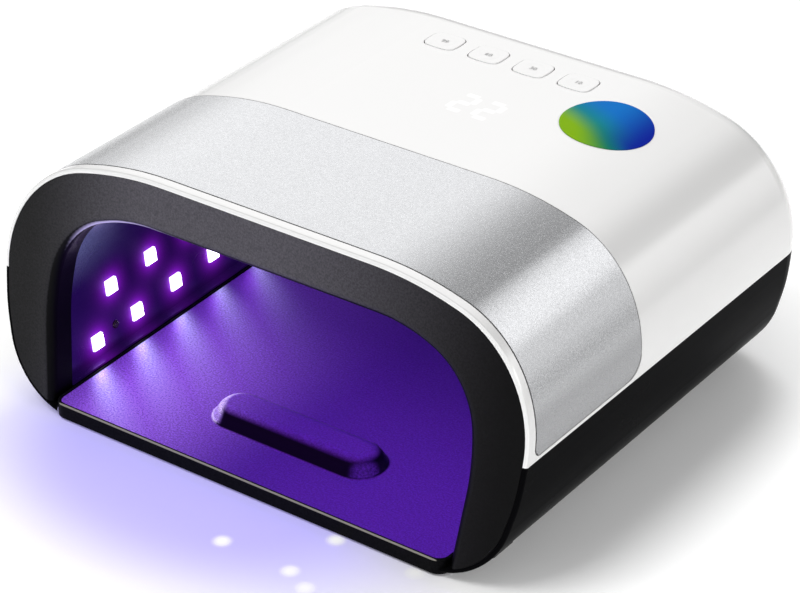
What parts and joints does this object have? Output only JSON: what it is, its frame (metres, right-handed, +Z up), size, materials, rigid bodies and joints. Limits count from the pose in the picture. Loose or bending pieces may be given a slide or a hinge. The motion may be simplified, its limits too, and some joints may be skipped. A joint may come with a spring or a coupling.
{
  "type": "uv nail lamp",
  "caption": "Arched table-top nail lamp with a mirror chamber for the hand, push buttons and a display on top, over a lift-off base tray with a palm rest.",
  "frame": {"origin": "on the table, under the middle of the lamp", "axes": "+X to the right across the mouth, +Y from the mouth to the back, +Z up"},
  "size_m": [0.2248, 0.191, 0.1011],
  "materials": {
    "white_shell": "gloss white",
    "black_shell": "gloss black",
    "silver_band": "satin silver paint",
    "black_bezel": "satin black",
    "mirror_liner": "bright metal finish",
    "led_board": "white circuit board",
    "lamp_chip": "clear lamp with a diode inside",
    "sensor_eye": "dark dome",
    "control_board": "green circuit board",
    "switch_body": "black moulded",
    "inner_frame": "white moulded",
    "display_bar": "clear light bar",
    "button_cap": "gloss white",
    "plunger": "natural moulded",
    "steel_screw": "zinc plated",
    "inlet_body": "black moulded",
    "magnet": "nickel plated",
    "keeper_steel": "plain",
    "foot_rubber": "matt",
    "sticker_film": "printed film with a soft gradient",
    "tray_black": "satin black",
    "tray_steel": "bright sheet"
  },
  "bodies": {
    "base_tray": {"tray_frame": "tray_black", "tray_plate": "tray_steel", "tray_pads": "foot_rubber", "keeper_plates": "keeper_steel"},
    "housing": {"upper_shell": "white_shell", "lower_shell": "black_shell", "front_band": "silver_band", "front_bezel": "black_bezel", "reflector": "mirror_liner", "led_board_left": "led_board", "led_board_right": "led_board", "led_board_top": "led_board", "led_chips_left": "lamp_chip", "led_chips_right": "lamp_chip", "led_chips_top": "lamp_chip", "ir_emitter": "sensor_eye", "ir_receiver": "sensor_eye", "control_board": "control_board", "tact_switches": "switch_body", "button_frame": "inner_frame", "display_module": "switch_body", "display_bars": "display_bar", "board_screws": "steel_screw", "shell_screws": "steel_screw", "dc_jack": "inlet_body", "housing_magnets": "magnet", "rubber_feet": "foot_rubber", "round_sticker": "sticker_film"},
    "button_body_1": {"button_1": "button_cap", "switch_plunger_1": "plunger"},
    "button_body_2": {"button_2": "button_cap", "switch_plunger_2": "plunger"},
    "button_body_3": {"button_3": "button_cap", "switch_plunger_3": "plunger"},
    "button_body_4": {"button_4": "button_cap", "switch_plunger_4": "plunger"}
  },
  "joints": [
    {"name": "housing_lift", "type": "slide", "parent": "base_tray", "child": "housing", "axis": [0, 0, 1], "range_m": [0, 0.06]},
    {"name": "button_1_press", "type": "slide", "parent": "housing", "child": "button_body_1", "axis": [0, 0, -1], "range_m": [0, 0.0006], "stiffness_N_per_m": 3000, "springref_m": -0.00005},
    {"name": "button_2_press", "type": "slide", "parent": "housing", "child": "button_body_2", "axis": [0, 0, -1], "range_m": [0, 0.0006], "stiffness_N_per_m": 3000, "springref_m": -0.00005},
    {"name": "button_3_press", "type": "slide", "parent": "housing", "child": "button_body_3", "axis": [0, 0, -1], "range_m": [0, 0.0006], "stiffness_N_per_m": 3000, "springref_m": -0.00005},
    {"name": "button_4_press", "type": "slide", "parent": "housing", "child": "button_body_4", "axis": [0, 0, -1], "range_m": [0, 0.0006], "stiffness_N_per_m": 3000, "springref_m": -0.00005}
  ]
}
